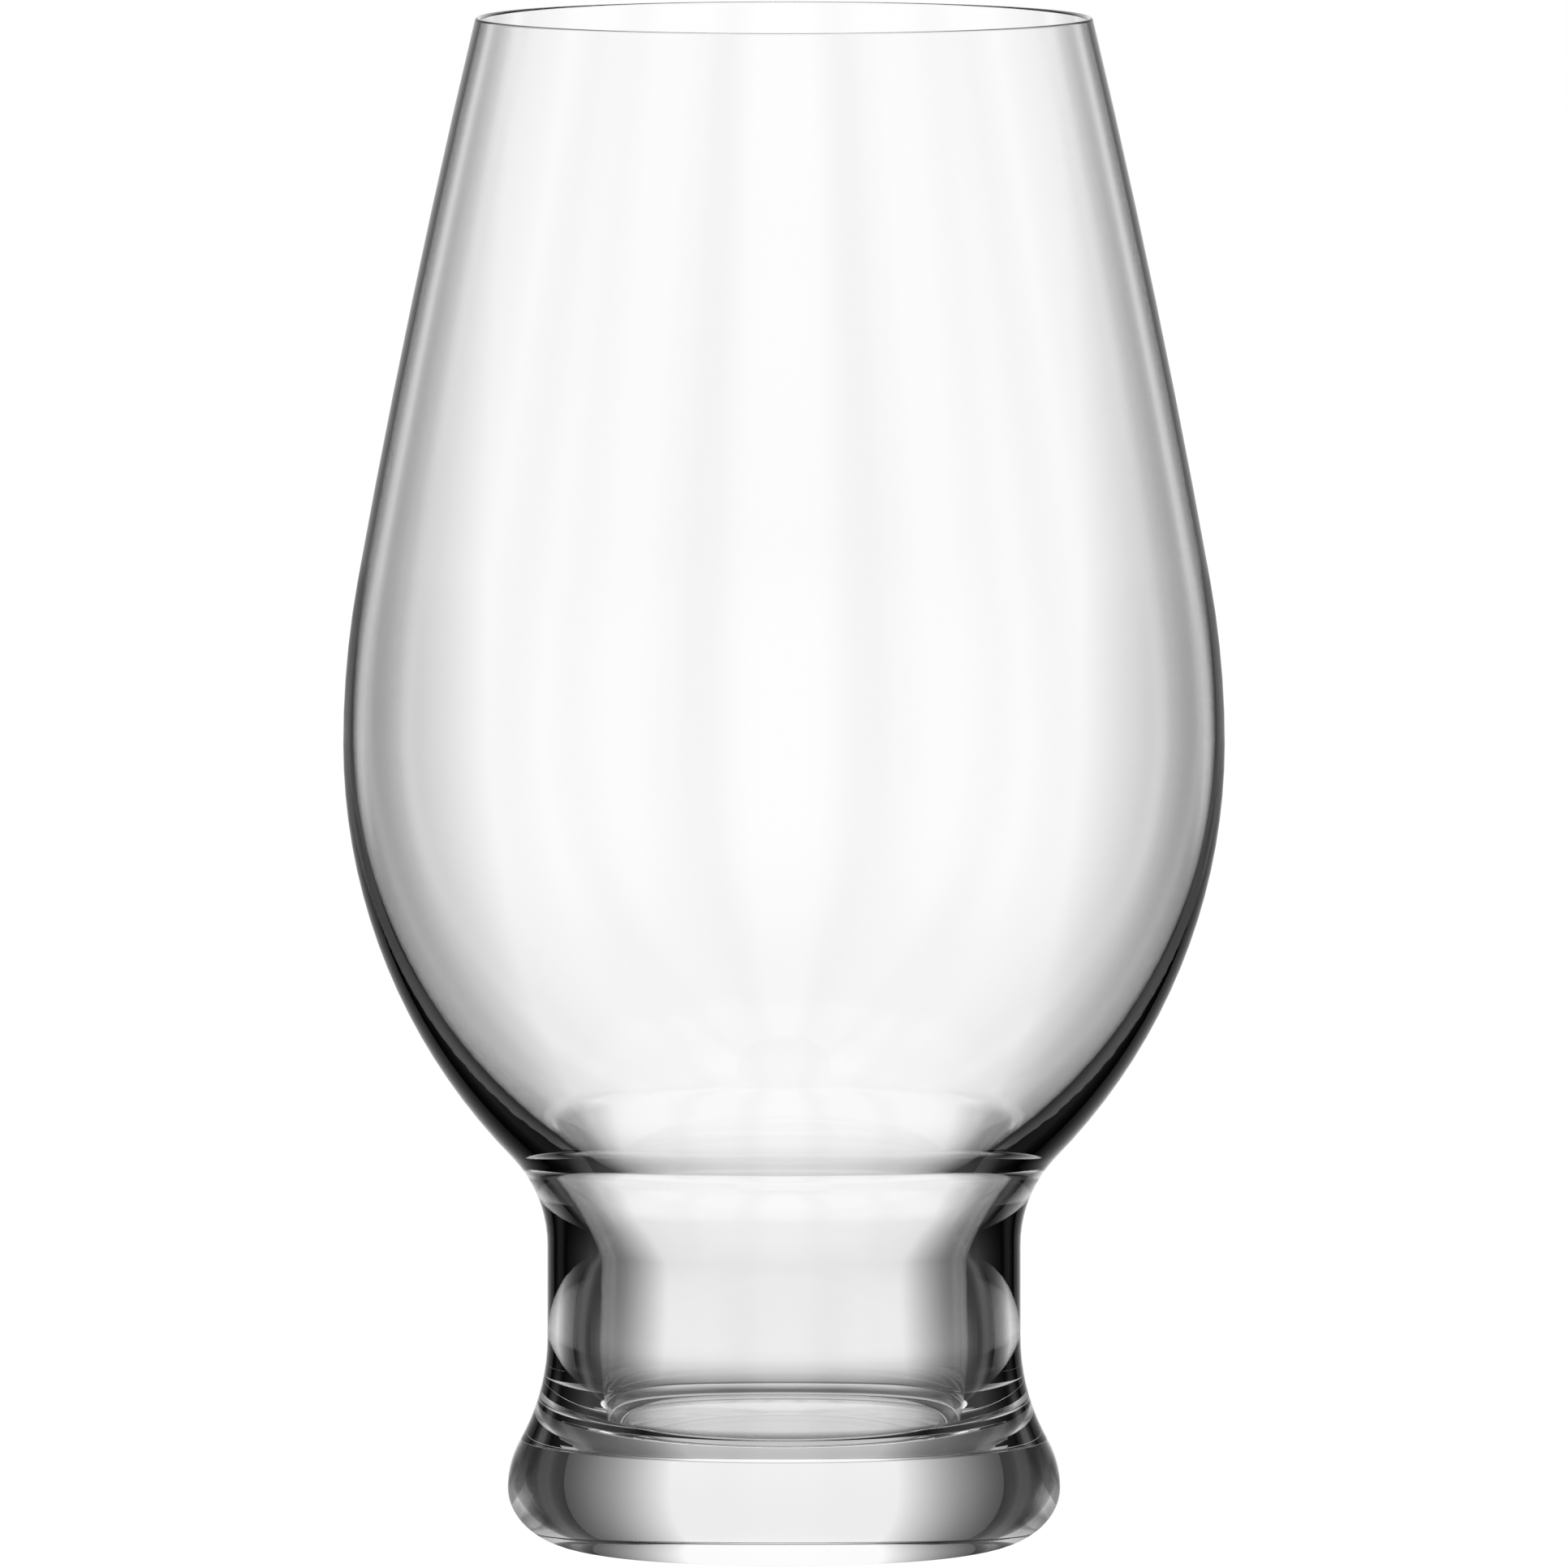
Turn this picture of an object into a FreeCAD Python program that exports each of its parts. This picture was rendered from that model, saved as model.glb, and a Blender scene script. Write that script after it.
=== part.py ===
"""IPA glass: a tulip-shaped beer glass in one piece of clear glass.

A thin upper wall leans in to a rounded rim. Below its widest point the bowl
draws in to a thick waist, which flares out again into a solid foot. The
drinking space runs on down through the waist as a narrow well.

The whole glass is one half section, turned once about the Z axis. The origin
is at the middle of the flat underside, +Z is up, and sizes are millimetres.
"""

import FreeCAD, Part
import math
import os

import Sketcher

Vector = FreeCAD.Vector

# Driving sizes. Heights are measured up from the underside.
SIZES = {
    # Overall sizes
    "height": 148.0,
    "widest_diameter": 85.1,
    "rim_diameter": 59.6,
    "waist_diameter": 45.75,
    # Foot: it stands out past the waist, and rolls in to the flat underside as a
    # quarter of an ellipse, wider than it is high
    "foot_overhang": 3.84,
    "foot_roll_in": 7.5,
    "foot_belly_height": 5.75,
    "foot_top_radius": 9.2,
    # Waist: the straight stretch between the foot's flare and the bowl
    "waist_low": 20.4,
    "waist_high": 29.25,
    "neck_radius": 12.5,
    # Bowl: the widest point lies this far below the rim
    "upper_height": 70.2,
    "shoulder_radius": 89.0,
    "upper_wall_radius": 990.0,
    # Wall: the inner bowl's centre lies further out than the outer bowl's, so the
    # glass thickens towards the waist
    "rim_wall": 0.6,
    "widest_wall": 0.85,
    "bowl_centre_shift": 5.4,
    "waist_wall": 5.0,
    "floor_thickness": 10.0,
    "inner_widest_rise": 0.8,
    "inner_shoulder_radius": 96.0,
    # Well: the narrow lower part of the drinking space, which opens as a funnel. Its
    # ridge against the bowl is a rounded throat, and a funnel so wide that it leaves
    # no ridge runs on up to the bowl as a straight cone.
    "funnel_start": 20.8,
    "funnel_radius": 37.0,
    "throat_radius": 4.0,
    "floor_corner_radius": 2.3,
}


def make_sheet(doc):
    """Write the driving sizes as plain numbers with an alias each."""
    sheet = doc.addObject("Spreadsheet::Sheet", "Sizes")
    for row, (alias, value) in enumerate(SIZES.items(), start=1):
        sheet.set("A%d" % row, alias)
        sheet.set("B%d" % row, str(value))
        sheet.setAlias("B%d" % row, alias)
    doc.recompute()
    return sheet


def origin_plane(body, role):
    """Return the body's own origin plane with this role."""
    for feature in body.Origin.OriginFeatures:
        if feature.Role == role:
            return feature
    raise ValueError("no origin plane " + role)


def circles_meeting(centre_a, reach_a, centre_b, reach_b):
    """Return the point at two given distances from two centres, on the right of a to b."""
    across = centre_b - centre_a
    gap = across.Length
    along = (gap ** 2 + reach_a ** 2 - reach_b ** 2) / (2 * gap)
    aside = math.sqrt(reach_a ** 2 - along ** 2)
    across.normalize()
    right = Vector(across.y, -across.x, 0)
    return centre_a + across * along + right * aside


def crossing_tangent(centre_a, radius_a, centre_b, radius_b):
    """Return where the line that passes between two circles touches each of them.

    Of the two such lines, it is the one that touches a on the left of a to b.
    """
    across = centre_b - centre_a
    along = (radius_a + radius_b) / across.Length
    aside = math.sqrt(1 - along ** 2)
    across.normalize()
    left = Vector(-across.y, across.x, 0)
    square = across * along + left * aside
    return centre_a + square * radius_a, centre_b - square * radius_b


def radii_sum(low_point, high_point):
    """Return the sum of the radii of two touching arcs whose far ends are upright."""
    across = abs(high_point.x - low_point.x)
    rise = high_point.y - low_point.y
    return (across ** 2 + rise ** 2) / (2 * across)


class Section:
    """A closed chain of lines and arcs in a sketch, drawn in order.

    Each edge is kept with the sketch's own numbers for its start and its end,
    because an arc in a sketch always runs anticlockwise.
    """

    def __init__(self, sketch):
        self.sketch = sketch
        self.edges = {}

    def line(self, name, start, end):
        index = self.sketch.addGeometry(Part.LineSegment(start, end), False)
        self.edges[name] = (index, 1, 2)

    def arc(self, name, centre, start, end, clockwise=False):
        radius = (start - centre).Length
        angles = [math.atan2(p.y - centre.y, p.x - centre.x) for p in (start, end)]
        if clockwise:
            angles.reverse()
        circle = Part.Circle(centre, Vector(0, 0, 1), radius)
        index = self.sketch.addGeometry(Part.ArcOfCircle(circle, *angles), False)
        self.edges[name] = (index, 2, 1) if clockwise else (index, 1, 2)

    def quarter_ellipse(self, name, centre, reach_across, reach_up):
        """Add the quarter that runs from straight below the centre to its right."""
        ellipse = Part.Ellipse(centre, reach_across, reach_up)
        quarter = Part.ArcOfEllipse(ellipse, 1.5 * math.pi, 2 * math.pi)
        index = self.sketch.addGeometry(quarter, False)
        self.sketch.exposeInternalGeometry(index)
        self.edges[name] = (index, 1, 2)

    def index(self, name):
        return self.edges[name][0]

    def start(self, name):
        return self.edges[name][0], self.edges[name][1]

    def end(self, name):
        return self.edges[name][0], self.edges[name][2]

    def centre(self, name):
        return self.edges[name][0], 3

    def constrain(self, kind, *places):
        return self.sketch.addConstraint(Sketcher.Constraint(kind, *places))

    def touch(self, first, second):
        """Join the end of one edge to the start of the next, in one direction."""
        self.constrain("Tangent", *self.end(first), *self.start(second))

    def join(self, first, second):
        """Join the end of one edge to the start of the next at a corner."""
        self.constrain("Coincident", *self.end(first), *self.start(second))

    def bind(self, name, formula, kind, *places):
        """Add a dimension whose value is worked out from the spreadsheet."""
        index = self.constrain(kind, *places)
        self.sketch.renameConstraint(index, name)
        self.sketch.setExpression("Constraints." + name, formula)

    def across(self, name, formula, place):
        """Set how far a point lies from the axis."""
        distance = self.sketch.getPoint(*place).x
        self.bind(name, formula, "DistanceX", -1, 1, *place, distance)

    def up(self, name, formula, place):
        """Set how high a point lies above the underside."""
        distance = self.sketch.getPoint(*place).y
        self.bind(name, formula, "DistanceY", -1, 1, *place, distance)

    def apart(self, name, formula, inner, outer):
        """Set how much further from the axis one point lies than another."""
        distance = self.sketch.getPoint(*outer).x - self.sketch.getPoint(*inner).x
        self.bind(name, formula, "DistanceX", *inner, *outer, distance)

    def radius(self, name, formula):
        """Set an arc's radius."""
        radius = self.sketch.Geometry[self.index(name)].Radius
        self.bind(name + "_size", formula, "Radius", self.index(name), radius)


def draw_outside(section, size):
    """Draw the outer skin, from the middle of the underside up to the rim.

    Returns the point where the skin meets the rim's lip.
    """
    foot_edge = size.waist_diameter / 2 + size.foot_overhang
    foot = Vector(foot_edge, size.foot_belly_height, 0)
    base = Vector(foot_edge - size.foot_roll_in, 0, 0)
    waist_bottom = Vector(size.waist_diameter / 2, size.waist_low, 0)
    waist_top = Vector(size.waist_diameter / 2, size.waist_high, 0)
    widest = Vector(size.widest_diameter / 2, size.height - size.upper_height, 0)

    foot_centre = foot - Vector(size.foot_top_radius, 0, 0)
    flare_radius = radii_sum(foot, waist_bottom) - size.foot_top_radius
    flare_centre = waist_bottom + Vector(flare_radius, 0, 0)
    foot_top = point_towards(foot_centre, flare_centre, size.foot_top_radius)

    neck_centre = waist_top + Vector(size.neck_radius, 0, 0)
    bowl_centre = widest - Vector(outer_bowl_radius(size), 0, 0)
    neck_top = point_towards(neck_centre, bowl_centre, size.neck_radius)

    shoulder_centre = widest - Vector(size.shoulder_radius, 0, 0)
    lip = lip_centre(size)
    wall_centre = circles_meeting(
        lip, size.upper_wall_radius - size.rim_wall / 2,
        shoulder_centre, size.upper_wall_radius - size.shoulder_radius,
    )
    shoulder_top = point_towards(shoulder_centre, wall_centre, -size.shoulder_radius)
    rim_outside = point_towards(lip, wall_centre, -size.rim_wall / 2)

    section.line("underside", Vector(0, 0, 0), base)
    section.quarter_ellipse("heel", Vector(base.x, foot.y, 0), size.foot_roll_in, foot.y)
    section.arc("foot_top", foot_centre, foot, foot_top)
    section.arc("flare", flare_centre, foot_top, waist_bottom, clockwise=True)
    section.line("waist", waist_bottom, waist_top)
    section.arc("neck", neck_centre, waist_top, neck_top, clockwise=True)
    section.arc("bowl", bowl_centre, neck_top, widest)
    section.arc("shoulder", shoulder_centre, widest, shoulder_top)
    section.arc("upper_wall", wall_centre, shoulder_top, rim_outside)
    return rim_outside


def draw_inside(section, size, rim_outside):
    """Draw the lip and the drinking space, from the rim down to the floor's middle."""
    lip = lip_centre(size)
    widest = Vector(
        size.widest_diameter / 2 - size.widest_wall,
        size.height - size.upper_height + size.inner_widest_rise,
        0,
    )
    shoulder_centre = widest - Vector(size.inner_shoulder_radius, 0, 0)
    wall_centre = circles_meeting(
        lip, size.upper_wall_radius + size.rim_wall / 2,
        shoulder_centre, size.upper_wall_radius - size.inner_shoulder_radius,
    )
    shoulder_top = point_towards(shoulder_centre, wall_centre, -size.inner_shoulder_radius)
    rim_inside = point_towards(lip, wall_centre, size.rim_wall / 2)

    bore_radius = size.waist_diameter / 2 - size.waist_wall
    funnel_bottom = Vector(bore_radius, size.funnel_start, 0)
    funnel_centre = funnel_bottom + Vector(size.funnel_radius, 0, 0)
    bowl_radius = outer_bowl_radius(size) - size.widest_wall - size.bowl_centre_shift
    bowl_centre = widest - Vector(bowl_radius, 0, 0)
    has_ridge = (funnel_centre - bowl_centre).Length < bowl_radius + size.funnel_radius
    if has_ridge:
        throat_centre = circles_meeting(
            bowl_centre, bowl_radius + size.throat_radius,
            funnel_centre, size.funnel_radius - size.throat_radius,
        )
        bowl_bottom = point_towards(throat_centre, bowl_centre, size.throat_radius)
        funnel_top = point_towards(throat_centre, funnel_centre, -size.throat_radius)
    else:
        bowl_bottom, funnel_top = crossing_tangent(
            bowl_centre, bowl_radius, funnel_centre, size.funnel_radius
        )

    corner = size.floor_corner_radius
    corner_centre = Vector(bore_radius - corner, size.floor_thickness + corner, 0)
    corner_side = corner_centre + Vector(corner, 0, 0)
    corner_floor = corner_centre - Vector(0, corner, 0)
    floor_middle = Vector(0, size.floor_thickness, 0)

    section.arc("lip", lip, rim_outside, rim_inside)
    section.arc("inner_upper_wall", wall_centre, rim_inside, shoulder_top, clockwise=True)
    section.arc("inner_shoulder", shoulder_centre, shoulder_top, widest, clockwise=True)
    section.arc("inner_bowl", bowl_centre, widest, bowl_bottom, clockwise=True)
    if has_ridge:
        section.arc("throat", throat_centre, bowl_bottom, funnel_top)
    else:
        section.line("cone", bowl_bottom, funnel_top)
    section.arc("funnel", funnel_centre, funnel_top, funnel_bottom)
    section.line("well_wall", funnel_bottom, corner_side)
    section.arc("floor_corner", corner_centre, corner_side, corner_floor, clockwise=True)
    section.line("floor", corner_floor, floor_middle)
    section.line("axis", floor_middle, Vector(0, 0, 0))


def outer_bowl_radius(size):
    """Return the radius that takes the bowl from the neck's arc to its widest point."""
    waist_top = Vector(size.waist_diameter / 2, size.waist_high, 0)
    widest = Vector(size.widest_diameter / 2, size.height - size.upper_height, 0)
    return radii_sum(waist_top, widest) - size.neck_radius


def lip_centre(size):
    """Return the middle of the rim's round lip."""
    radius = size.rim_wall / 2
    return Vector(size.rim_diameter / 2 - radius, size.height - radius, 0)


def point_towards(start, target, distance):
    """Return the point this far from start on the way to target."""
    direction = target - start
    direction.normalize()
    return start + direction * distance


def join_edges(section):
    """Close the chain, with a smooth joint wherever the section has no corner."""
    corners = (("underside", "heel"), ("heel", "foot_top"), ("floor", "axis"), ("axis", "underside"))
    chain = list(section.edges)
    for pair in zip(chain, chain[1:] + chain[:1]):
        if pair in corners:
            section.join(*pair)
        else:
            section.touch(*pair)

    section.constrain("Coincident", *section.start("underside"), -1, 1)
    section.constrain("Horizontal", section.index("underside"))
    section.constrain("Vertical", section.index("waist"))
    section.constrain("Vertical", section.index("well_wall"))
    section.constrain("Horizontal", section.index("floor"))
    section.constrain("Vertical", section.index("axis"))

    section.constrain("Horizontal", section.index("heel") + 1)
    section.constrain("Vertical", *section.start("heel"), *section.centre("heel"))
    section.constrain("Horizontal", *section.end("heel"), *section.centre("heel"))
    section.constrain("Horizontal", *section.start("foot_top"), *section.centre("foot_top"))
    section.constrain("Horizontal", *section.end("bowl"), *section.centre("bowl"))
    section.constrain("Horizontal", *section.start("inner_bowl"), *section.centre("inner_bowl"))
    section.constrain("Equal", section.index("upper_wall"), section.index("inner_upper_wall"))


def bind_sizes(section):
    """Tie every dimension of the section to the spreadsheet."""
    section.across(
        "base_edge",
        "Sizes.waist_diameter / 2 + Sizes.foot_overhang - Sizes.foot_roll_in",
        section.end("underside"),
    )
    section.across(
        "foot_edge",
        "Sizes.waist_diameter / 2 + Sizes.foot_overhang",
        section.end("heel"),
    )
    section.up("foot_belly", "Sizes.foot_belly_height", section.end("heel"))
    section.radius("foot_top", "Sizes.foot_top_radius")

    section.across("waist_edge", "Sizes.waist_diameter / 2", section.start("waist"))
    section.up("waist_bottom", "Sizes.waist_low", section.start("waist"))
    section.up("waist_top", "Sizes.waist_high", section.end("waist"))
    section.radius("neck", "Sizes.neck_radius")

    section.across("widest_edge", "Sizes.widest_diameter / 2", section.end("bowl"))
    section.up("widest_level", "Sizes.height - Sizes.upper_height", section.end("bowl"))
    section.radius("shoulder", "Sizes.shoulder_radius")
    section.radius("upper_wall", "Sizes.upper_wall_radius")

    section.across("lip_middle", "(Sizes.rim_diameter - Sizes.rim_wall) / 2", section.centre("lip"))
    section.up("lip_level", "Sizes.height - Sizes.rim_wall / 2", section.centre("lip"))
    section.radius("lip", "Sizes.rim_wall / 2")

    section.across(
        "inner_widest_edge",
        "Sizes.widest_diameter / 2 - Sizes.widest_wall",
        section.start("inner_bowl"),
    )
    section.up(
        "inner_widest_level",
        "Sizes.height - Sizes.upper_height + Sizes.inner_widest_rise",
        section.start("inner_bowl"),
    )
    section.radius("inner_shoulder", "Sizes.inner_shoulder_radius")
    section.apart(
        "bowl_centres",
        "Sizes.bowl_centre_shift",
        section.centre("bowl"),
        section.centre("inner_bowl"),
    )
    if "throat" in section.edges:
        section.radius("throat", "Sizes.throat_radius")
    section.radius("funnel", "Sizes.funnel_radius")
    section.up("funnel_bottom", "Sizes.funnel_start", section.start("well_wall"))
    section.across(
        "well_edge",
        "Sizes.waist_diameter / 2 - Sizes.waist_wall",
        section.start("well_wall"),
    )
    section.radius("floor_corner", "Sizes.floor_corner_radius")
    section.up("floor_level", "Sizes.floor_thickness", section.end("floor"))


def make_glass(doc, sheet):
    """Turn the half section about the Z axis into the whole glass."""
    body = doc.addObject("PartDesign::Body", "Glass")
    body.Label = "beer_glass"
    sketch = body.newObject("Sketcher::SketchObject", "HalfSection")
    sketch.AttachmentSupport = [(origin_plane(body, "XZ_Plane"), "")]
    sketch.MapMode = "FlatFace"
    doc.recompute()

    section = Section(sketch)
    rim_outside = draw_outside(section, sheet)
    draw_inside(section, sheet, rim_outside)
    join_edges(section)
    bind_sizes(section)
    doc.recompute()
    if not sketch.FullyConstrained:
        raise RuntimeError("the half section isn't fully constrained")

    turned = body.newObject("PartDesign::Revolution", "TurnedSection")
    turned.Profile = sketch
    turned.ReferenceAxis = (sketch, ["V_Axis"])
    turned.Angle = 360
    body.Placement = FreeCAD.Placement()
    doc.recompute()
    return body


def check_document(doc, bodies):
    """Stop if an object failed to build or a body isn't one valid solid."""
    for thing in doc.Objects:
        if "Invalid" in thing.State or "Error" in thing.State:
            raise RuntimeError(thing.Name + " failed to build")
    for body in bodies:
        if body.Shape.isNull() or not body.Shape.isValid():
            raise RuntimeError(body.Label + " has no valid shape")
        if len(body.Shape.Solids) != 1:
            raise RuntimeError(body.Label + " isn't one solid")


def main():
    doc = FreeCAD.newDocument("IpaGlass")
    sheet = make_sheet(doc)
    bodies = [make_glass(doc, sheet)]
    check_document(doc, bodies)
    os.makedirs("parts", exist_ok=True)
    for body in bodies:
        body.Shape.exportStep("parts/" + body.Label + ".step")


main()
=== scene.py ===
"""IPA glass: the looks of a tulip-shaped beer glass in one piece of clear glass.

The glass stands on a pale floor, and soft panels round it light it. Lengths are in
metres, the origin is at the middle of the flat underside, and +Z is up.
"""

import logging
import math
from collections.abc import Iterable
from dataclasses import dataclass, field
from enum import Enum

import bpy
import numpy as np
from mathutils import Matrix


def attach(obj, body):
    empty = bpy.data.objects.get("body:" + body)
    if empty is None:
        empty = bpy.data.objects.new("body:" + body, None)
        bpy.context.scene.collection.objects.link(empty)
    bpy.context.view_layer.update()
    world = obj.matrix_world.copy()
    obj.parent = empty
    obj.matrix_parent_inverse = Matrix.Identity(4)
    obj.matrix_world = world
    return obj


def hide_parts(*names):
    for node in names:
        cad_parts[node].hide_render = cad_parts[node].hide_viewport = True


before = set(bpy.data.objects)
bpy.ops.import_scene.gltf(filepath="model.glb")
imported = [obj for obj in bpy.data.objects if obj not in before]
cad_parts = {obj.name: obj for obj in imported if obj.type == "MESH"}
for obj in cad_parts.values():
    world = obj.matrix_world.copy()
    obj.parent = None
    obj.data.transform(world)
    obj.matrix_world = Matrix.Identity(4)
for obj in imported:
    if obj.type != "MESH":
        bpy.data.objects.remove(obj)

log = logging.getLogger("ipa_glass")

GLASS_NODE = "beer_glass"


def circles_meeting(
    centre_a: np.ndarray, reach_a: float, centre_b: np.ndarray, reach_b: float
) -> np.ndarray:
    """Find the point at two given distances from two centres.

    It is where two circles cross. From the first centre it lies
    (gap^2 + a^2 - b^2) / (2 gap) along the line of centres, and
    sqrt(a^2 - along^2) off that line, for the distances a and b.

    Args:
        centre_a: The first centre, as (across, up).
        reach_a: The distance from the first centre.
        centre_b: The second centre.
        reach_b: The distance from the second centre.

    Returns:
        The crossing on the right of the way from a to b.
    """
    across = centre_b - centre_a
    gap = float(np.hypot(*across))
    along = (gap**2 + reach_a**2 - reach_b**2) / (2.0 * gap)
    aside = math.sqrt(reach_a**2 - along**2)
    across = across / gap
    right = np.array((across[1], -across[0]))
    return centre_a + across * along + right * aside


def point_towards(start: np.ndarray, target: np.ndarray, distance: float) -> np.ndarray:
    """Return the point this far from start on the way to target."""
    way = target - start
    return start + way * (distance / float(np.hypot(*way)))


def radii_sum(low_point: np.ndarray, high_point: np.ndarray) -> float:
    """Return the sum of the radii of two touching arcs whose far ends are upright.

    It is (across^2 + rise^2) / (2 across), from the triangle of the two centres.

    Args:
        low_point: Where the lower arc is upright, as (across, up).
        high_point: Where the upper arc is upright.

    Returns:
        The sum of the two radii.
    """
    across, rise = np.abs(high_point - low_point)
    return float((across**2 + rise**2) / (2.0 * across))


def angle_from(centre: np.ndarray, point: np.ndarray) -> float:
    """Return the angle at which a point lies from a centre, from across towards up."""
    across, up = point - centre
    return math.atan2(up, across)


@dataclass(frozen=True)
class Stretch:
    """One smooth stretch of the half section, with the skin's outward direction.

    Attributes:
        points: Places along the stretch, as rows of (radius, height).
        outward: The unit vector that points out of the glass at each place.
    """

    points: np.ndarray
    outward: np.ndarray

    @classmethod
    def straight(cls, start: np.ndarray, end: np.ndarray, count: int) -> "Stretch":
        """Make a straight run with the glass on its left.

        A place is start + t (end - start), for t from 0 to 1, and outward is the
        run's own direction turned a quarter to the right.

        Args:
            start: Where it starts, as (radius, height).
            end: Where it ends.
            count: How many places to work out.

        Returns:
            The straight run.
        """
        share = np.linspace(0.0, 1.0, count)[:, None]
        way = (end - start) / np.hypot(*(end - start))
        outward = np.tile((way[1], -way[0]), (count, 1))
        return cls(start + (end - start) * share, outward)

    @classmethod
    def bend(
        cls,
        centre: np.ndarray,
        reach: tuple[float, float],
        turn: tuple[float, float],
        count: int,
    ) -> "Stretch":
        """Make an arc of a circle or an ellipse.

        A place is centre + (a cos t, b sin t), for t along the turn. Outward is
        (cos t / a, sin t / b) made one long, away from the centre where t grows and
        towards it where t falls, since the glass lies on the left of the run.

        Args:
            centre: The middle of the arc.
            reach: Its two half widths, across and up.
            turn: The angles where it starts and ends, in radians.
            count: How many places to work out.

        Returns:
            The arc.
        """
        angle = np.linspace(turn[0], turn[1], count)
        ring = np.column_stack((np.cos(angle), np.sin(angle)))
        outward = ring / np.array(reach)
        outward /= np.linalg.norm(outward, axis=1, keepdims=True)
        return cls(centre + ring * np.array(reach), outward * np.sign(turn[1] - turn[0]))

    @classmethod
    def arc(
        cls, centre: np.ndarray, start: np.ndarray, end: np.ndarray, count: int
    ) -> "Stretch":
        """Make the shorter round arc about a centre.

        Args:
            centre: The middle of the arc.
            start: Where it starts.
            end: Where it ends, as far from the centre as the start is.
            count: How many places to work out.

        Returns:
            The arc.
        """
        first, last = angle_from(centre, start), angle_from(centre, end)
        swing = math.remainder(last - first, 2.0 * math.pi)
        reach = float(np.hypot(*(start - centre)))
        return cls.bend(centre, (reach, reach), (first, first + swing), count)

    @classmethod
    def lip(
        cls, centre: np.ndarray, start: np.ndarray, end: np.ndarray, count: int
    ) -> "Stretch":
        """Make the round lip, which always runs anticlockwise, over the top of the rim.

        Args:
            centre: The middle of the lip.
            start: Where it leaves the outer wall.
            end: Where it meets the inner wall, about half a turn on.
            count: How many places to work out.

        Returns:
            The lip.
        """
        first, last = angle_from(centre, start), angle_from(centre, end)
        swing = (last - first) % (2.0 * math.pi)
        reach = float(np.hypot(*(start - centre)))
        return cls.bend(centre, (reach, reach), (first, first + swing), count)

    @staticmethod
    def chain(stretches: Iterable["Stretch"]) -> "Stretch":
        """Join stretches end to end, and keep each shared place once.

        Args:
            stretches: The stretches in order, each from where the last one ends.

        Returns:
            One stretch along them all.
        """
        parts = list(stretches)
        points = [parts[0].points] + [part.points[1:] for part in parts[1:]]
        outward = [parts[0].outward] + [part.outward[1:] for part in parts[1:]]
        return Stretch(np.concatenate(points), np.concatenate(outward))


@dataclass(frozen=True)
class SectionSteps:
    """How many places each stretch of the half section is worked out at."""

    flat: int = 5
    heel: int = 17
    foot_top: int = 8
    flare: int = 10
    waist: int = 4
    neck: int = 10
    bowl: int = 19
    shoulder: int = 6
    upper_wall: int = 7
    lip: int = 13
    inner_bowl: int = 21
    throat: int = 8
    funnel: int = 9
    bore: int = 5
    corner: int = 9


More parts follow.
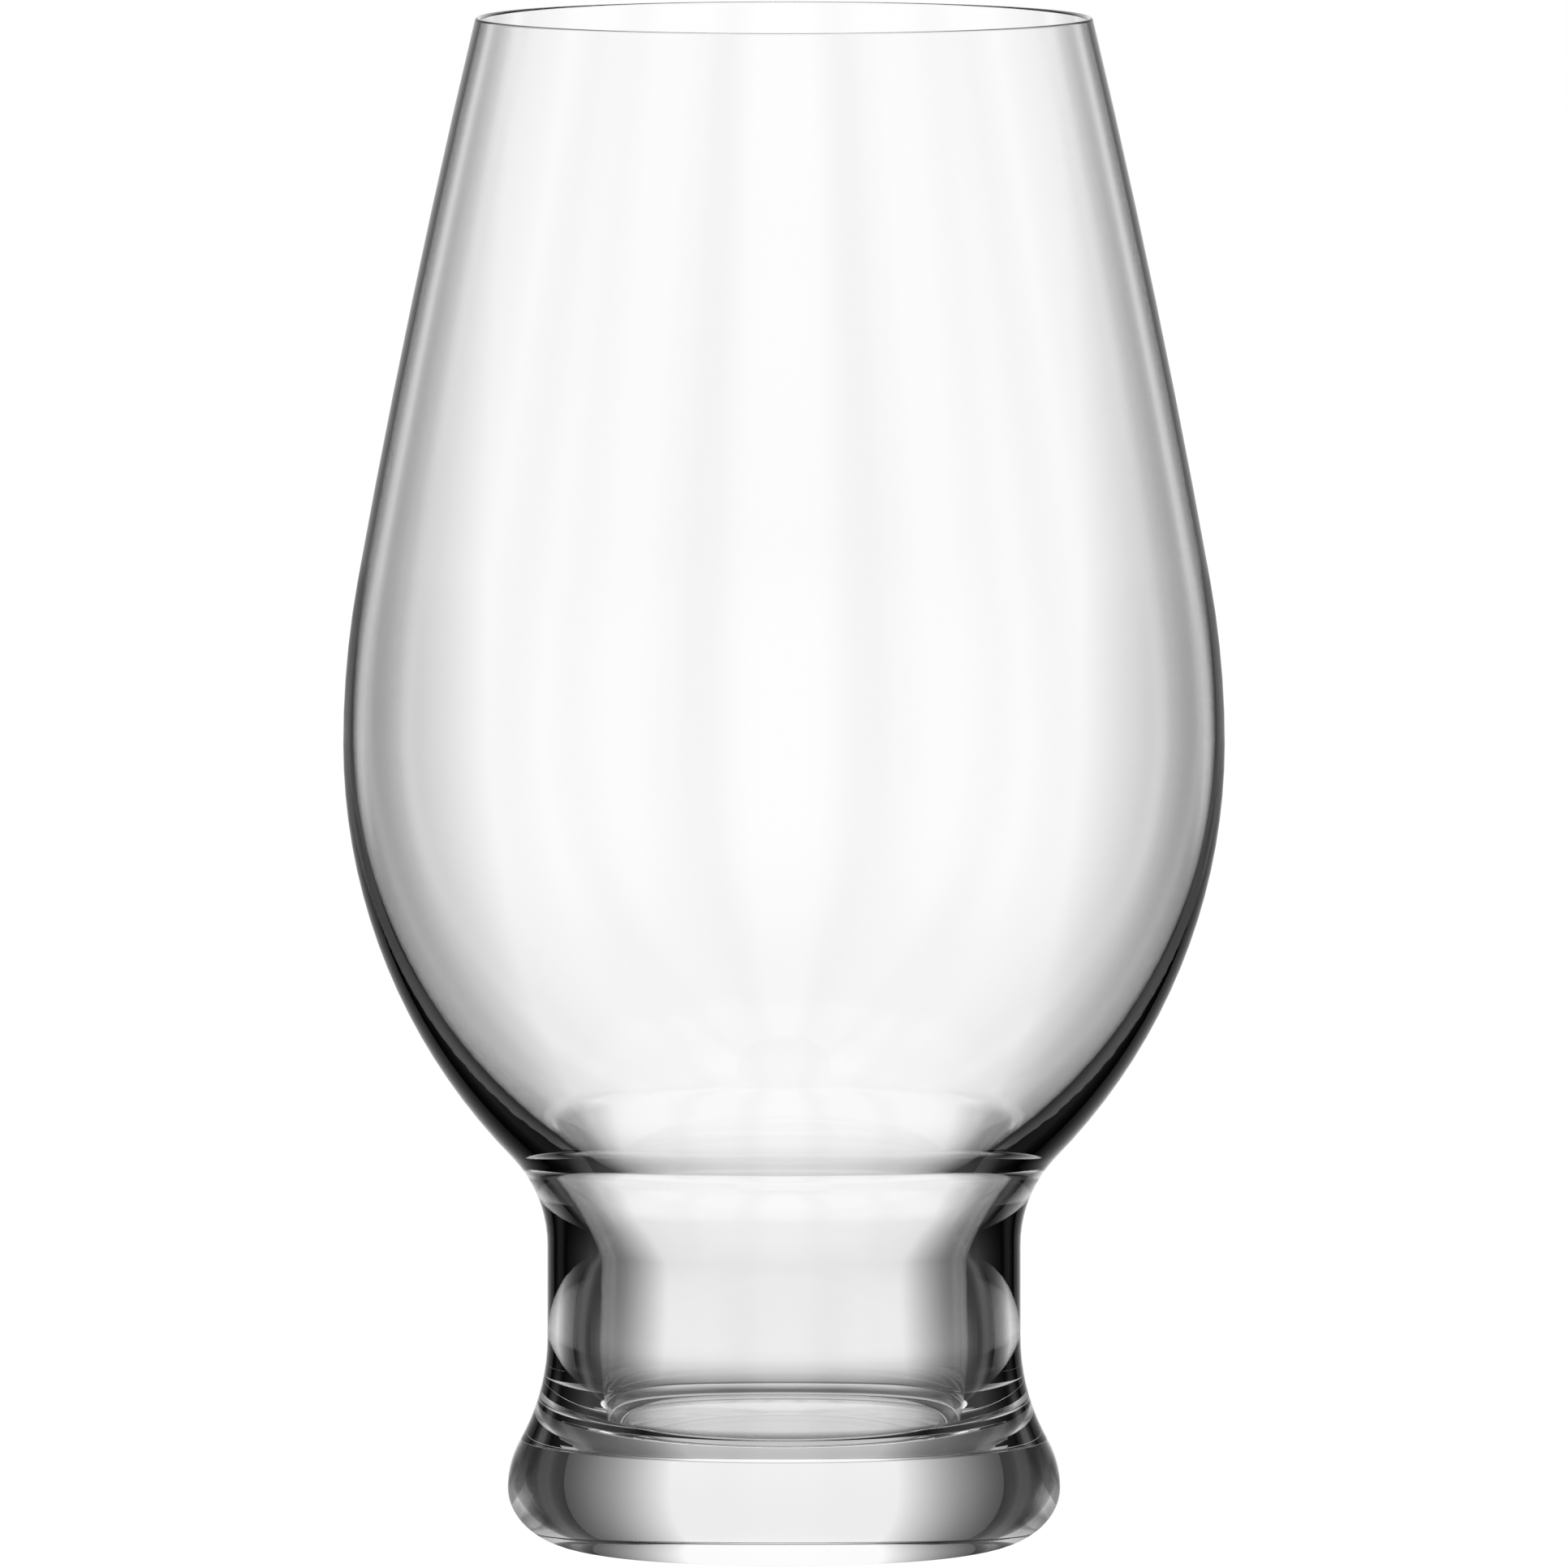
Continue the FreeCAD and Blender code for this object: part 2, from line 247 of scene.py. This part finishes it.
@dataclass(frozen=True)
class GlassSkin:
    """The skin of the whole glass: one half section turned once about the axis.

    Attributes:
        height: From the underside to the top of the rim.
        widest_diameter: Across the bowl where it is widest.
        rim_diameter: Across the rim, outside.
        waist_diameter: Across the straight waist.
        foot_overhang: How far the foot stands out past the waist.
        foot_roll_in: How far the heel rolls in under the foot.
        foot_belly_height: The height at which the foot is widest.
        foot_top_radius: The round of the foot's upper edge.
        waist_low: Where the straight waist starts.
        waist_high: Where it ends.
        neck_radius: The round between the waist and the bowl.
        upper_height: From the widest point up to the top of the rim.
        shoulder_radius: The outer round above the widest point.
        upper_wall_radius: The slight curve of the upper wall.
        rim_wall: How thick the wall is at the rim.
        widest_wall: How thick it is at the widest point.
        bowl_centre_shift: How much smaller still the inner bowl's radius is.
        waist_wall: How thick the wall is at the waist.
        floor_thickness: How thick the solid foot is under the floor.
        inner_widest_rise: How far above the outer one the inner widest point lies.
        inner_shoulder_radius: The inner round above the widest point.
        funnel_start: Where the straight bore opens into the funnel.
        funnel_radius: The curve of the funnel.
        throat_radius: The round between the funnel and the bowl.
        floor_corner_radius: The round between the floor and the bore.
        turns: How many steps go round the axis.
        steps: How many places the stretches of the half section have.
    """

    height: float = 0.1480
    widest_diameter: float = 0.0851
    rim_diameter: float = 0.0596
    waist_diameter: float = 0.04575
    foot_overhang: float = 0.00384
    foot_roll_in: float = 0.0075
    foot_belly_height: float = 0.00575
    foot_top_radius: float = 0.0092
    waist_low: float = 0.0204
    waist_high: float = 0.02925
    neck_radius: float = 0.0125
    upper_height: float = 0.0702
    shoulder_radius: float = 0.0890
    upper_wall_radius: float = 0.9900
    rim_wall: float = 0.0006
    widest_wall: float = 0.00085
    bowl_centre_shift: float = 0.0054
    waist_wall: float = 0.0050
    floor_thickness: float = 0.0100
    inner_widest_rise: float = 0.0008
    inner_shoulder_radius: float = 0.0960
    funnel_start: float = 0.0208
    funnel_radius: float = 0.0370
    throat_radius: float = 0.0040
    floor_corner_radius: float = 0.0023
    turns: int = 512
    steps: SectionSteps = SectionSteps()

    @property
    def widest(self) -> np.ndarray:
        """Return the widest point of the outer skin."""
        return np.array((self.widest_diameter / 2, self.height - self.upper_height))

    @property
    def waist_top(self) -> np.ndarray:
        """Return the top of the straight waist."""
        return np.array((self.waist_diameter / 2, self.waist_high))

    @property
    def bowl_radius(self) -> float:
        """Return the outer bowl's radius, which runs from the neck to the widest point."""
        return radii_sum(self.waist_top, self.widest) - self.neck_radius

    @property
    def lip_middle(self) -> np.ndarray:
        """Return the middle of the rim's round lip."""
        half = self.rim_wall / 2
        return np.array((self.rim_diameter / 2 - half, self.height - half))

    def outside(self) -> list[Stretch]:
        """Work out the outer skin, from the middle of the underside up to the rim.

        Returns:
            The underside, the heel, the foot's upper edge, the flare, the waist, the
            neck, the bowl, the shoulder and the upper wall.
        """
        steps = self.steps
        waist_bottom = np.array((self.waist_diameter / 2, self.waist_low))
        foot = np.array((waist_bottom[0] + self.foot_overhang, self.foot_belly_height))
        base = np.array((foot[0] - self.foot_roll_in, 0.0))
        heel = np.array((base[0], foot[1]))
        roll = (self.foot_roll_in, self.foot_belly_height)

        foot_middle = foot - (self.foot_top_radius, 0.0)
        flare_radius = radii_sum(foot, waist_bottom) - self.foot_top_radius
        flare_middle = waist_bottom + (flare_radius, 0.0)
        foot_top = point_towards(foot_middle, flare_middle, self.foot_top_radius)

        neck_middle = self.waist_top + (self.neck_radius, 0.0)
        bowl_middle = self.widest - (self.bowl_radius, 0.0)
        neck_top = point_towards(neck_middle, bowl_middle, self.neck_radius)

        shoulder_middle = self.widest - (self.shoulder_radius, 0.0)
        wall_middle = circles_meeting(
            self.lip_middle,
            self.upper_wall_radius - self.rim_wall / 2,
            shoulder_middle,
            self.upper_wall_radius - self.shoulder_radius,
        )
        shoulder_top = point_towards(shoulder_middle, wall_middle, -self.shoulder_radius)
        rim_outside = point_towards(self.lip_middle, wall_middle, -self.rim_wall / 2)
        return [
            Stretch.straight(np.zeros(2), base, steps.flat),
            Stretch.bend(heel, roll, (-math.pi / 2, 0.0), steps.heel),
            Stretch.arc(foot_middle, foot, foot_top, steps.foot_top),
            Stretch.arc(flare_middle, foot_top, waist_bottom, steps.flare),
            Stretch.straight(waist_bottom, self.waist_top, steps.waist),
            Stretch.arc(neck_middle, self.waist_top, neck_top, steps.neck),
            Stretch.arc(bowl_middle, neck_top, self.widest, steps.bowl),
            Stretch.arc(shoulder_middle, self.widest, shoulder_top, steps.shoulder),
            Stretch.arc(wall_middle, shoulder_top, rim_outside, steps.upper_wall),
        ]

    def inside(self) -> list[Stretch]:
        """Work out the lip and the drinking space, from the rim to the floor's middle.

        Returns:
            The lip, the upper wall, the shoulder, the bowl, the throat, the funnel, the
            bore, the floor's corner and the floor.
        """
        steps = self.steps
        widest = self.widest + (-self.widest_wall, self.inner_widest_rise)
        shoulder_middle = widest - (self.inner_shoulder_radius, 0.0)
        wall_middle = circles_meeting(
            self.lip_middle,
            self.upper_wall_radius + self.rim_wall / 2,
            shoulder_middle,
            self.upper_wall_radius - self.inner_shoulder_radius,
        )
        shoulder_top = point_towards(
            shoulder_middle, wall_middle, -self.inner_shoulder_radius
        )
        rim_inside = point_towards(self.lip_middle, wall_middle, self.rim_wall / 2)
        outer = self.outside()[-1].points[-1]

        bore = self.waist_diameter / 2 - self.waist_wall
        funnel_bottom = np.array((bore, self.funnel_start))
        funnel_middle = funnel_bottom + (self.funnel_radius, 0.0)
        bowl_radius = self.bowl_radius - self.widest_wall - self.bowl_centre_shift
        bowl_middle = widest - (bowl_radius, 0.0)
        throat_middle = circles_meeting(
            bowl_middle,
            bowl_radius + self.throat_radius,
            funnel_middle,
            self.funnel_radius - self.throat_radius,
        )
        bowl_bottom = point_towards(throat_middle, bowl_middle, self.throat_radius)
        funnel_top = point_towards(throat_middle, funnel_middle, -self.throat_radius)

        corner = self.floor_corner_radius
        corner_middle = np.array((bore - corner, self.floor_thickness + corner))
        corner_side = corner_middle + (corner, 0.0)
        corner_floor = corner_middle - (0.0, corner)
        floor_middle = np.array((0.0, self.floor_thickness))
        return [
            Stretch.lip(self.lip_middle, outer, rim_inside, steps.lip),
            Stretch.arc(wall_middle, rim_inside, shoulder_top, steps.upper_wall),
            Stretch.arc(shoulder_middle, shoulder_top, widest, steps.shoulder),
            Stretch.arc(bowl_middle, widest, bowl_bottom, steps.inner_bowl),
            Stretch.arc(throat_middle, bowl_bottom, funnel_top, steps.throat),
            Stretch.arc(funnel_middle, funnel_top, funnel_bottom, steps.funnel),
            Stretch.straight(funnel_bottom, corner_side, steps.bore),
            Stretch.arc(corner_middle, corner_side, corner_floor, steps.corner),
            Stretch.straight(corner_floor, floor_middle, steps.flat),
        ]

    def section(self) -> Stretch:
        """Return the whole half section, from the axis up the outside and back down."""
        return Stretch.chain(self.outside() + self.inside())

    def mesh(self, name: str) -> bpy.types.Mesh:
        """Turn the half section once about the axis.

        Each place (r, z) of the section goes round as (r cos a, r sin a, z), for
        equal steps of a. The section starts and ends on the axis, so each end is a
        single vertex with a fan of triangles, and the skin is closed.

        Args:
            name: The new mesh's name.

        Returns:
            The closed mesh, with the section's own outward directions as normals.
        """
        section = self.section()
        angle = np.arange(self.turns) * (2.0 * math.pi / self.turns)
        compass = np.column_stack((np.cos(angle), np.sin(angle)))

        def swept(rows: np.ndarray) -> np.ndarray:
            """Carry rows of (across, up) round the axis.

            Args:
                rows: One row for each ring.

            Returns:
                Rows of (x, y, z), ring by ring.
            """
            flat = rows[:, None, :1] * compass[None, :, :]
            rise = np.broadcast_to(rows[:, None, 1:], (*flat.shape[:2], 1))
            return np.concatenate((flat, rise), axis=2).reshape(-1, 3)

        def with_poles(rows: np.ndarray) -> np.ndarray:
            """Put one vertex for each end of the section after the rings."""
            ends = np.column_stack((np.zeros(2), np.zeros(2), rows[[0, -1], 1]))
            return np.concatenate((swept(rows[1:-1]), ends))

        vertices = with_poles(section.points)
        normals = with_poles(section.outward)

        rings = len(section.points) - 2
        here = np.arange(self.turns)
        after = np.roll(here, -1)
        low = np.arange(rings - 1)[:, None] * self.turns
        high = low + self.turns
        quads = np.stack((low + here, low + after, high + after, high + here), axis=2)
        top = (rings - 1) * self.turns
        under = np.column_stack((np.full(self.turns, len(vertices) - 2), after, here))
        last = np.full(self.turns, len(vertices) - 1)
        inner = np.column_stack((top + here, top + after, last))

        loops = np.concatenate((quads.ravel(), under.ravel(), inner.ravel()))
        sizes = np.repeat((4, 3), ((rings - 1) * self.turns, 2 * self.turns))
        mesh = bpy.data.meshes.new(name)
        mesh.vertices.add(len(vertices))
        mesh.vertices.foreach_set("co", vertices.astype(np.float32).ravel())
        mesh.loops.add(len(loops))
        mesh.loops.foreach_set("vertex_index", loops.astype(np.int32))
        mesh.polygons.add(len(sizes))
        mesh.polygons.foreach_set("loop_start", (np.cumsum(sizes) - sizes).astype(np.int32))
        mesh.update(calc_edges=True)
        mesh.validate()
        mesh.shade_smooth()
        mesh.normals_split_custom_set_from_vertices(normals.tolist())
        return mesh


class Wiring:
    """A material's or a world's nodes, wired from left to right."""

    def __init__(self, owner: bpy.types.Material | bpy.types.World) -> None:
        """Empty the owner's node tree.

        Args:
            owner: The material or world that it wires.
        """
        owner.use_nodes = True
        self.tree = owner.node_tree
        self.tree.nodes.clear()

    def node(self, kind: str, **settings: object) -> bpy.types.Node:
        """Add a node.

        Args:
            kind: The node's type.
            **settings: The node's own settings by name.

        Returns:
            The node.
        """
        made = self.tree.nodes.new(kind)
        for name, value in settings.items():
            setattr(made, name, value)
        return made

    def feed(self, socket: bpy.types.NodeSocket, value: object) -> None:
        """Link another node's output into a socket, or set the socket's own value.

        Args:
            socket: The input to feed.
            value: An output to link, or a plain value.
        """
        if isinstance(value, bpy.types.NodeSocket):
            self.tree.links.new(value, socket)
        else:
            socket.default_value = value

    def math(self, operation: str, *values: object) -> bpy.types.NodeSocket:
        """Work out one step of arithmetic.

        Args:
            operation: The name of the step, such as ADD.
            *values: Plain numbers or other nodes' outputs.

        Returns:
            The result's socket.
        """
        step = self.node("ShaderNodeMath", operation=operation)
        for socket, value in zip(step.inputs, values):
            self.feed(socket, value)
        return step.outputs[0]

    def vector(self, operation: str, *values: object) -> bpy.types.NodeSocket:
        """Work out one step of arithmetic on vectors.

        Args:
            operation: The name of the step; LENGTH gives a number.
            *values: Other nodes' vector outputs.

        Returns:
            The result's socket.
        """
        step = self.node("ShaderNodeVectorMath", operation=operation)
        for socket, value in zip(step.inputs, values):
            self.feed(socket, value)
        return step.outputs["Value" if operation == "LENGTH" else "Vector"]

    def ease(
        self, value: object, start: float, end: float, low: float, high: float
    ) -> bpy.types.NodeSocket:
        """Go smoothly from low to high as the value goes from start to end.

        With t the share of the way from start to end, kept between 0 and 1, it is
        low + (high - low) * (3 t^2 - 2 t^3).

        Args:
            value: The output that it follows.
            start: The value at which it leaves low.
            end: The value at which it reaches high.
            low: What it is at the start and before.
            high: What it is at the end and after.

        Returns:
            The result's socket.
        """
        step = self.node("ShaderNodeMapRange", interpolation_type="SMOOTHSTEP")
        for name, number in (
            ("Value", value),
            ("From Min", start),
            ("From Max", end),
            ("To Min", low),
            ("To Max", high),
        ):
            self.feed(step.inputs[name], number)
        return step.outputs[0]

    def place(self) -> tuple[bpy.types.NodeSocket, ...]:
        """Read the object's own place.

        Returns:
            The place as one vector, and then its X, Y and Z.
        """
        where = self.node("ShaderNodeTexCoord").outputs["Object"]
        split = self.node("ShaderNodeSeparateXYZ")
        self.feed(split.inputs[0], where)
        return (where, *split.outputs)


@dataclass(frozen=True)
class ClearGlass:
    """Clear, fire-polished glass.

    Attributes:
        index: How strongly it bends light.
        ripple: The height of the faint turned ripples in its skin.
        ripple_pitch: How far apart they are, up the glass.
        drift: The height of the slow unevenness of blown glass.
        drift_pitch: How far apart its humps are.
        calm: How far the foot's outer face is evened out, from none (0) to fully (1).
        calm_rise: The heights between which the evening sets in over the underside.
        calm_end: The heights between which it stops under the flare.
        calm_edge: The radii between which it sets in, outside the well.
    """

    index: float = 1.52
    ripple: float = 0.0000012
    ripple_pitch: float = 0.0016
    drift: float = 0.000012
    drift_pitch: float = 0.018
    calm: float = 0.98
    calm_rise: tuple[float, float] = (0.00002, 0.00012)
    calm_end: tuple[float, float] = (0.0104, 0.0106)
    calm_edge: tuple[float, float] = (0.0188, 0.0191)

    def material(self) -> bpy.types.Material:
        """Build the material from the shader and the patterns in its skin.

        The height of the skin is ripple * noise(z / pitch) + drift * noise(place /
        pitch). On the foot's outer face the normal's upright part is scaled by
        1 - calm, so that the foot looks as even as a straight-sided disc.

        Returns:
            The material.
        """
        made = bpy.data.materials.new("clear_glass")
        wiring = Wiring(made)
        where, across, along, height = wiring.place()

        ripples = wiring.node("ShaderNodeTexNoise", noise_dimensions="1D")
        wiring.feed(ripples.inputs["W"], height)
        ripples.inputs["Scale"].default_value = 1.0 / self.ripple_pitch
        ripples.inputs["Detail"].default_value = 1.0
        humps = wiring.node("ShaderNodeTexNoise", noise_dimensions="3D")
        wiring.feed(humps.inputs["Vector"], where)
        humps.inputs["Scale"].default_value = 1.0 / self.drift_pitch
        humps.inputs["Detail"].default_value = 0.0
        skin = wiring.math(
            "ADD",
            wiring.math("MULTIPLY", ripples.outputs[0], self.ripple),
            wiring.math("MULTIPLY", humps.outputs[0], self.drift),
        )
        bump = wiring.node("ShaderNodeBump")
        bump.inputs["Strength"].default_value = 1.0
        bump.inputs["Distance"].default_value = 1.0
        wiring.feed(bump.inputs["Height"], skin)

        flat = wiring.node("ShaderNodeCombineXYZ")
        wiring.feed(flat.inputs["X"], across)
        wiring.feed(flat.inputs["Y"], along)
        radius = wiring.vector("LENGTH", flat.outputs[0])
        shares = (
            wiring.ease(height, *self.calm_rise, 0.0, self.calm),
            wiring.ease(height, *self.calm_end, 1.0, 0.0),
            wiring.ease(radius, *self.calm_edge, 0.0, 1.0),
        )
        share = wiring.math("MULTIPLY", wiring.math("MULTIPLY", *shares[:2]), shares[2])
        scale = wiring.node("ShaderNodeCombineXYZ")
        scale.inputs["X"].default_value = 1.0
        scale.inputs["Y"].default_value = 1.0
        wiring.feed(scale.inputs["Z"], wiring.math("SUBTRACT", 1.0, share))
        normal = wiring.vector("MULTIPLY", bump.outputs[0], scale.outputs[0])

        shader = wiring.node("ShaderNodeBsdfPrincipled")
        shader.inputs["Base Color"].default_value = (1.0, 1.0, 1.0, 1.0)
        shader.inputs["Roughness"].default_value = 0.0
        shader.inputs["IOR"].default_value = self.index
        shader.inputs["Transmission Weight"].default_value = 1.0
        wiring.feed(shader.inputs["Normal"], wiring.vector("NORMALIZE", normal))
        out = wiring.node("ShaderNodeOutputMaterial")
        wiring.feed(out.inputs["Surface"], shader.outputs[0])
        return made


class PanelPlace(Enum):
    """Where a soft panel stands, as its bearing from the glass in degrees.

    0 is straight behind it, and the bearing grows anticlockwise as seen from above.
    """

    BEHIND = 0.0
    BACK_LEFT = 45.0
    LEFT = 90.0
    FRONT_LEFT = 135.0
    IN_FRONT = 180.0
    FRONT_RIGHT = 225.0
    RIGHT = 270.0
    BACK_RIGHT = 315.0


@dataclass(frozen=True)
class SoftPanel:
    """An upright glowing panel that is bright in the middle and fades to its sides.

    Attributes:
        place: The side of the glass on which it stands.
        brightness: How bright its middle is.
        distance: How far it stands from the axis of the glass.
        even: How far from its middle it is evenly bright.
        fade: Over how far its brightness then falls to about a third.
        dusk: The heights between which it darkens towards the floor.
        dusk_share: How bright it still is below them.
        foot: The heights between which the floor's light takes over from it.
        foot_glow: How bright that light is.
        reach: How far it goes to each side.
        top: How high it goes.
    """

    place: PanelPlace
    brightness: float = 0.68
    distance: float = 0.140
    even: float = 0.028
    fade: float = 0.025
    dusk: tuple[float, float] = (-0.050, 0.050)
    dusk_share: float = 0.12
    foot: tuple[float, float] = (-0.17, -0.12)
    foot_glow: float = 0.50
    reach: float = 0.10
    top: float = 0.80

    def material(self) -> bpy.types.Material:
        """Build the glow, from the place (x, z) on the panel.

        It is brightness * e^(-max(|x| - even, 0) / fade) * dusk(z) + floor(z). Up the
        panel, dusk goes smoothly from dusk_share to 1, and floor from foot_glow to 0.

        Returns:
            The material.
        """
        made = bpy.data.materials.new("soft_panel")
        wiring = Wiring(made)
        _, across, _, height = wiring.place()
        beyond = wiring.math("SUBTRACT", wiring.math("ABSOLUTE", across), self.even)
        power = wiring.math("DIVIDE", wiring.math("MAXIMUM", beyond, 0.0), -self.fade)
        glow = wiring.math("MULTIPLY", wiring.math("EXPONENT", power), self.brightness)
        dusk = wiring.ease(height, *self.dusk, self.dusk_share, 1.0)
        floor = wiring.ease(height, *self.foot, self.foot_glow, 0.0)
        both = wiring.math("ADD", wiring.math("MULTIPLY", glow, dusk), floor)
        light = wiring.node("ShaderNodeEmission")
        wiring.feed(light.inputs["Strength"], both)
        out = wiring.node("ShaderNodeOutputMaterial")
        wiring.feed(out.inputs["Surface"], light.outputs[0])
        return made

    def build(self) -> bpy.types.Object:
        """Stand the panel up and keep it out of the camera's own sight.

        Returns:
            The panel.
        """
        corners = [
            (-self.reach, 0.0, self.foot[0]),
            (self.reach, 0.0, self.foot[0]),
            (self.reach, 0.0, self.top),
            (-self.reach, 0.0, self.top),
        ]
        mesh = bpy.data.meshes.new("soft_panel")
        mesh.from_pydata(corners, [], [(0, 1, 2, 3)])
        mesh.materials.append(self.material())
        panel = bpy.data.objects.new("soft_panel_" + self.place.name.lower(), mesh)
        bpy.context.scene.collection.objects.link(panel)
        bearing = math.radians(self.place.value)
        away = (-math.sin(bearing), math.cos(bearing))
        panel.location = (away[0] * self.distance, away[1] * self.distance, 0.0)
        panel.rotation_euler = (0.0, 0.0, bearing)
        panel.visible_camera = False
        return panel


def corner_panel(place: PanelPlace) -> SoftPanel:
    """Return a narrow panel for a back corner, farther off than the others."""
    return SoftPanel(
        place, brightness=0.55, distance=0.200, even=0.008, fade=0.010, dusk=(0.010, 0.060)
    )


@dataclass(frozen=True)
class Studio:
    """The pale floor, the even white ground, and the dim room round the glass.

    Attributes:
        floor_reach: How far the floor goes.
        floor_gap: How far it lies under the glass.
        floor_glow: How bright it is to the camera.
        room: How bright the room is beside the panels.
        below: How bright the floor is to the glass.
        below_step: From which Z of a direction to which the floor gives way to the room.
        above: How bright it is straight above.
        above_step: From which Z to which the room gives way to what is above.
        panels: The soft panels round the glass.
    """

    floor_reach: float = 2.5
    floor_gap: float = 0.0003
    floor_glow: float = 1.02
    room: float = 0.045
    below: float = 0.55
    below_step: tuple[float, float] = (-0.82, -0.62)
    above: float = 0.10
    above_step: tuple[float, float] = (0.30, 0.95)
    panels: tuple[SoftPanel, ...] = (
        SoftPanel(PanelPlace.BEHIND, brightness=1.03, even=0.032, dusk=(-0.080, 0.015)),
        SoftPanel(PanelPlace.LEFT),
        SoftPanel(PanelPlace.FRONT_LEFT),
        SoftPanel(PanelPlace.IN_FRONT, brightness=0.75),
        SoftPanel(PanelPlace.FRONT_RIGHT),
        SoftPanel(PanelPlace.RIGHT),
        corner_panel(PanelPlace.BACK_LEFT),
        corner_panel(PanelPlace.BACK_RIGHT),
    )

    def build(self) -> None:
        """Build the floor, the ground and the panels."""
        self.build_floor()
        self.build_ground()
        for panel in self.panels:
            panel.build()
        log.info("%d soft panels", len(self.panels))

    def build_floor(self) -> bpy.types.Object:
        """Lay the pale floor just under the glass, where only the camera sees it.

        Returns:
            The floor.
        """
        mesh = bpy.data.meshes.new("pale_floor")
        reach, low = self.floor_reach, -self.floor_gap
        corners = [
            (-reach, -reach, low),
            (reach, -reach, low),
            (reach, reach, low),
            (-reach, reach, low),
        ]
        mesh.from_pydata(corners, [], [(0, 1, 2, 3)])
        made = bpy.data.materials.new("pale_floor")
        wiring = Wiring(made)
        glow = wiring.node("ShaderNodeEmission")
        glow.inputs["Strength"].default_value = self.floor_glow
        out = wiring.node("ShaderNodeOutputMaterial")
        wiring.feed(out.inputs["Surface"], glow.outputs[0])
        mesh.materials.append(made)
        floor = bpy.data.objects.new("pale_floor", mesh)
        bpy.context.scene.collection.objects.link(floor)
        floor.visible_transmission = False
        floor.visible_glossy = False
        return floor

    def build_ground(self) -> None:
        """Give the camera a white ground, and the glass a dim room around it.

        The room's strength follows the Z of the direction: it goes smoothly from below
        to room over below_step, and from room to above over above_step.
        """
        world = bpy.data.worlds.new("studio")
        wiring = Wiring(world)
        way = wiring.node("ShaderNodeSeparateXYZ")
        wiring.feed(way.inputs[0], wiring.node("ShaderNodeTexCoord").outputs["Generated"])
        up = way.outputs["Z"]
        low = wiring.ease(up, *self.below_step, self.below, self.room)
        high = wiring.ease(up, *self.above_step, 0.0, self.above - self.room)
        seen = wiring.node("ShaderNodeLightPath").outputs["Is Camera Ray"]
        ground = wiring.node("ShaderNodeBackground")
        ground.inputs["Color"].default_value = (1.0, 1.0, 1.0, 1.0)
        dim = wiring.math("MAXIMUM", seen, wiring.math("ADD", low, high))
        wiring.feed(ground.inputs["Strength"], dim)
        out = wiring.node("ShaderNodeOutputWorld")
        wiring.feed(out.inputs["Surface"], ground.outputs[0])
        bpy.context.scene.world = world


@dataclass(frozen=True)
class StillCamera:
    """The camera at the photograph's viewing angle.

    Attributes:
        distance: How far in front of the axis it stands.
        height: How high it stands.
        tilt_down: How far it looks down, in radians.
        lens: Its focal length in millimetres.
        sensor: How wide its sensor is, in millimetres.
    """

    distance: float = 3.0844
    height: float = 0.30814
    tilt_down: float = 0.0758
    lens: float = 735.66
    sensor: float = 36.0

    def build(self) -> bpy.types.Object:
        """Set the camera up in front of the glass.

        Returns:
            The camera.
        """
        data = bpy.data.cameras.new("still_camera")
        data.lens = self.lens
        data.sensor_width = self.sensor
        camera = bpy.data.objects.new("still_camera", data)
        bpy.context.scene.collection.objects.link(camera)
        camera.location = (0.0, -self.distance, self.height)
        camera.rotation_euler = (math.pi / 2 - self.tilt_down, 0.0, 0.0)
        bpy.context.scene.camera = camera
        return camera


@dataclass
class BeerGlass:
    """The whole glass.

    Attributes:
        skin: Its shape.
        finish: The finish that it wears.
    """

    skin: GlassSkin = field(default_factory=GlassSkin)
    finish: ClearGlass = field(default_factory=ClearGlass)

    def build(self) -> bpy.types.Object:
        """Build the glass in the place of its CAD node.

        Returns:
            The glass.
        """
        mesh = self.skin.mesh("tulip_glass")
        mesh.materials.append(self.finish.material())
        glass = bpy.data.objects.new("tulip_glass", mesh)
        bpy.context.scene.collection.objects.link(glass)
        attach(glass, "root")
        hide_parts(GLASS_NODE)
        return glass


def main() -> None:
    """Build the camera, the glass and the studio in order, and note the sizes."""
    logging.basicConfig(level=logging.INFO, format="%(message)s")
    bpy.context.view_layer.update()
    StillCamera().build()
    glass = BeerGlass().build()
    log.info("%s: %d faces", glass.name, len(glass.data.polygons))
    Studio().build()
    bpy.context.scene.view_settings.view_transform = "Standard"


if __name__ == "__main__":
    main()
